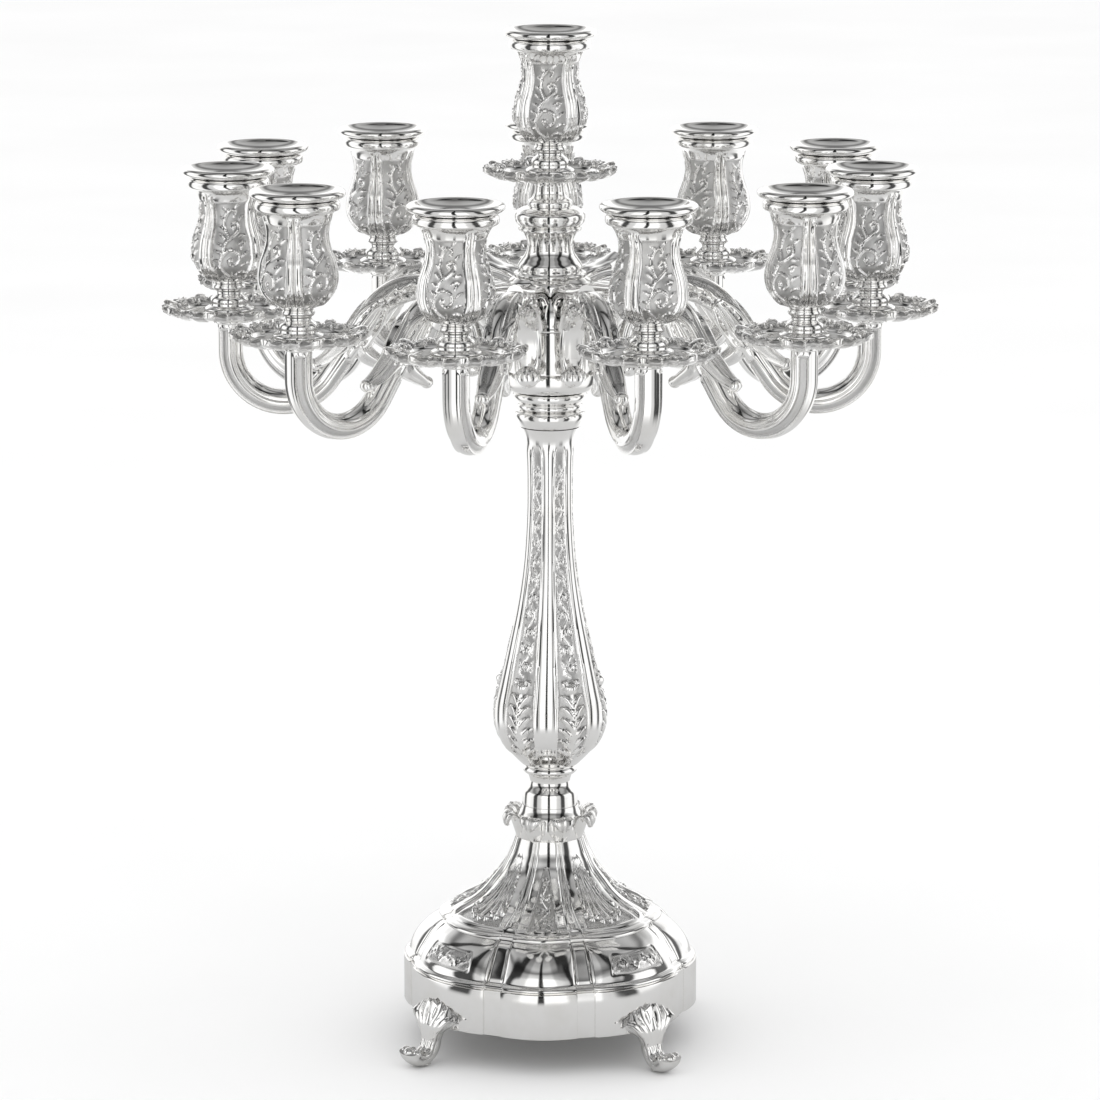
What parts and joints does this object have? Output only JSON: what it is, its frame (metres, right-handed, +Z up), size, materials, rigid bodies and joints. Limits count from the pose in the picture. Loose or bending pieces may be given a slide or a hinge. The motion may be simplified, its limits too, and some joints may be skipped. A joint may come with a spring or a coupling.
{
  "type": "candelabrum",
  "caption": "Tall silver candelabrum: footed base, baluster stem and a turning ring of scroll arms round a higher centre light, with drip pans, cups and lift-out candle nozzles.",
  "frame": {"origin": "on the floor under the stem's axis, between the four feet", "axes": "+Z up along the stem; -Y is the front, towards a plain lobe of the base"},
  "size_m": [0.4434, 0.4442, 0.6],
  "materials": {
    "polished_silver": "polished silver plate",
    "chased_silver": "polished silver plate with chased and darkened recesses",
    "steel": "turned steel"
  },
  "bodies": {
    "stand": {"base_band": "chased_silver", "base_shell": "chased_silver", "feet": "chased_silver", "leaf_collar": "chased_silver", "lower_knop": "polished_silver", "baluster": "polished_silver", "stem_collar": "polished_silver", "tie_rod": "steel", "rod_nut": "steel", "finial": "polished_silver", "pan_centre": "chased_silver", "cup_centre": "chased_silver"},
    "branch_ring": {"hub_bowl": "polished_silver", "hub_drum": "polished_silver", "hub_cap": "polished_silver", "arm_01": "chased_silver", "arm_02": "chased_silver", "arm_03": "chased_silver", "arm_04": "chased_silver", "arm_05": "chased_silver", "arm_06": "chased_silver", "arm_07": "chased_silver", "arm_08": "chased_silver", "arm_09": "chased_silver", "arm_10": "chased_silver", "arm_11": "chased_silver", "pan_01": "chased_silver", "pan_02": "chased_silver", "pan_03": "chased_silver", "pan_04": "chased_silver", "pan_05": "chased_silver", "pan_06": "chased_silver", "pan_07": "chased_silver", "pan_08": "chased_silver", "pan_09": "chased_silver", "pan_10": "chased_silver", "pan_11": "chased_silver", "cup_01": "chased_silver", "cup_02": "chased_silver", "cup_03": "chased_silver", "cup_04": "chased_silver", "cup_05": "chased_silver", "cup_06": "chased_silver", "cup_07": "chased_silver", "cup_08": "chased_silver", "cup_09": "chased_silver", "cup_10": "chased_silver", "cup_11": "chased_silver"},
    "nozzle_body_01": {"nozzle_01": "polished_silver"},
    "nozzle_body_02": {"nozzle_02": "polished_silver"},
    "nozzle_body_03": {"nozzle_03": "polished_silver"},
    "nozzle_body_04": {"nozzle_04": "polished_silver"},
    "nozzle_body_05": {"nozzle_05": "polished_silver"},
    "nozzle_body_06": {"nozzle_06": "polished_silver"},
    "nozzle_body_07": {"nozzle_07": "polished_silver"},
    "nozzle_body_08": {"nozzle_08": "polished_silver"},
    "nozzle_body_09": {"nozzle_09": "polished_silver"},
    "nozzle_body_10": {"nozzle_10": "polished_silver"},
    "nozzle_body_11": {"nozzle_11": "polished_silver"},
    "nozzle_body_centre": {"nozzle_centre": "polished_silver"}
  },
  "joints": [
    {"name": "branch_turn", "type": "hinge", "parent": "stand", "child": "branch_ring", "pos_m": [0, 0, 0.4184], "axis": [0, 0, 1], "continuous": true},
    {"name": "nozzle_lift_01", "type": "slide", "parent": "branch_ring", "child": "nozzle_body_01", "axis": [0, 0, 1], "range_m": [0, 0.04]},
    {"name": "nozzle_lift_02", "type": "slide", "parent": "branch_ring", "child": "nozzle_body_02", "axis": [0, 0, 1], "range_m": [0, 0.04]},
    {"name": "nozzle_lift_03", "type": "slide", "parent": "branch_ring", "child": "nozzle_body_03", "axis": [0, 0, 1], "range_m": [0, 0.04]},
    {"name": "nozzle_lift_04", "type": "slide", "parent": "branch_ring", "child": "nozzle_body_04", "axis": [0, 0, 1], "range_m": [0, 0.04]},
    {"name": "nozzle_lift_05", "type": "slide", "parent": "branch_ring", "child": "nozzle_body_05", "axis": [0, 0, 1], "range_m": [0, 0.04]},
    {"name": "nozzle_lift_06", "type": "slide", "parent": "branch_ring", "child": "nozzle_body_06", "axis": [0, 0, 1], "range_m": [0, 0.04]},
    {"name": "nozzle_lift_07", "type": "slide", "parent": "branch_ring", "child": "nozzle_body_07", "axis": [0, 0, 1], "range_m": [0, 0.04]},
    {"name": "nozzle_lift_08", "type": "slide", "parent": "branch_ring", "child": "nozzle_body_08", "axis": [0, 0, 1], "range_m": [0, 0.04]},
    {"name": "nozzle_lift_09", "type": "slide", "parent": "branch_ring", "child": "nozzle_body_09", "axis": [0, 0, 1], "range_m": [0, 0.04]},
    {"name": "nozzle_lift_10", "type": "slide", "parent": "branch_ring", "child": "nozzle_body_10", "axis": [0, 0, 1], "range_m": [0, 0.04]},
    {"name": "nozzle_lift_11", "type": "slide", "parent": "branch_ring", "child": "nozzle_body_11", "axis": [0, 0, 1], "range_m": [0, 0.04]},
    {"name": "nozzle_lift_centre", "type": "slide", "parent": "stand", "child": "nozzle_body_centre", "axis": [0, 0, 1], "range_m": [0, 0.04]}
  ]
}
